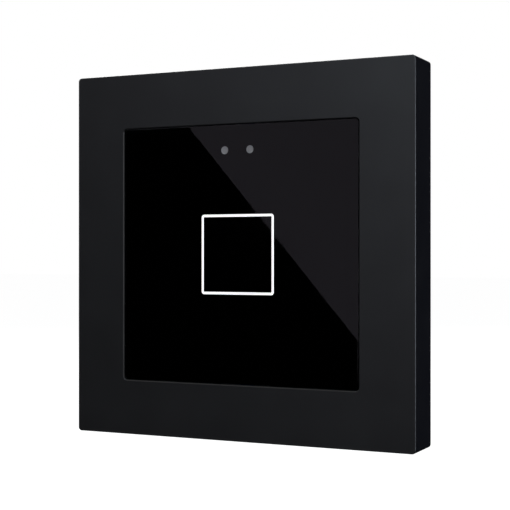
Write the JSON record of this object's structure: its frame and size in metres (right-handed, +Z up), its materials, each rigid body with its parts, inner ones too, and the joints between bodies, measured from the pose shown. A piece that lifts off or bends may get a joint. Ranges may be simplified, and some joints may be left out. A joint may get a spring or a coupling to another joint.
{
  "type": "touch light switch",
  "caption": "Square wall-mounted touch light switch: black glass front with a lit ring in a moulded surround, held by magnets on a steel plate over a round flush box.",
  "frame": {"origin": "centre of the mounting plate's rear face, in the wall plane", "axes": "+X right and +Z up as seen from the room, +Y into the wall, so the glass faces -Y"},
  "size_m": [0.08, 0.0263, 0.08],
  "materials": {
    "plate_steel": "zinc-plated stamped sheet",
    "surround_plastic": "soft matt anthracite lacquer",
    "cover_glass": "clear, polished",
    "black_print": "black ceramic ink",
    "adhesive_foam": "black adhesive tape",
    "housing_plastic": "fine moulded grain",
    "lit_diffuser": "milky, lit from behind",
    "smoked_rod": "smoked, polished",
    "clear_rod": "red tinted, polished",
    "foil": "copper foil",
    "spring_wire": "drawn wire",
    "board_laminate": "green solder mask",
    "lamp_body": "white ceramic body",
    "chip_resin": "moulded resin",
    "connector_plastic": "moulded",
    "header_plastic": "natural nylon",
    "gilt_pin": "gilt",
    "tinned_pin": "tin-plated",
    "ferrite": "sintered",
    "can_metal": "drawn can",
    "switch_metal": "stamped cover",
    "button_plastic": "moulded",
    "magnet_nickel": "nickel-plated",
    "screw_steel": "black oxide"
  },
  "bodies": {
    "wall_plate": {"mounting_plate": "plate_steel"},
    "surround": {"surround_frame": "surround_plastic"},
    "touch_module": {"touch_glass": "cover_glass", "printed_mask": "black_print", "bonding_tape": "adhesive_foam", "front_carrier": "housing_plastic", "icon_light_guide": "lit_diffuser", "sensor_light_pipes": "smoked_rod", "touch_electrode": "foil", "touch_spring": "spring_wire", "front_board": "board_laminate", "icon_leds": "lamp_body", "sensor_chips": "chip_resin", "touch_controller": "chip_resin", "temperature_sensor": "chip_resin", "board_socket": "connector_plastic", "board_header": "connector_plastic", "header_pins": "gilt_pin", "main_board": "board_laminate", "logic_chips": "chip_resin", "storage_choke": "ferrite", "buffer_capacitors": "can_metal", "bus_header_block": "connector_plastic", "bus_pins": "tinned_pin", "input_header": "header_plastic", "input_header_pins": "gilt_pin", "programming_switch": "switch_metal", "programming_led": "lamp_body", "programming_led_lens": "clear_rod", "rear_housing": "housing_plastic", "holding_magnets": "magnet_nickel", "housing_screws": "screw_steel"},
    "button": {"programming_button": "button_plastic", "switch_plunger": "connector_plastic"}
  },
  "joints": [
    {"name": "surround_pull", "type": "slide", "parent": "wall_plate", "child": "surround", "axis": [0, -1, 0], "range_m": [0, 0.025]},
    {"name": "module_pull", "type": "slide", "parent": "surround", "child": "touch_module", "axis": [0, -1, 0], "range_m": [0, 0.03]},
    {"name": "button_press", "type": "slide", "parent": "touch_module", "child": "button", "axis": [0, -1, 0], "range_m": [0, 0.00025], "stiffness_N_per_m": 600, "springref_m": -0.0005}
  ]
}
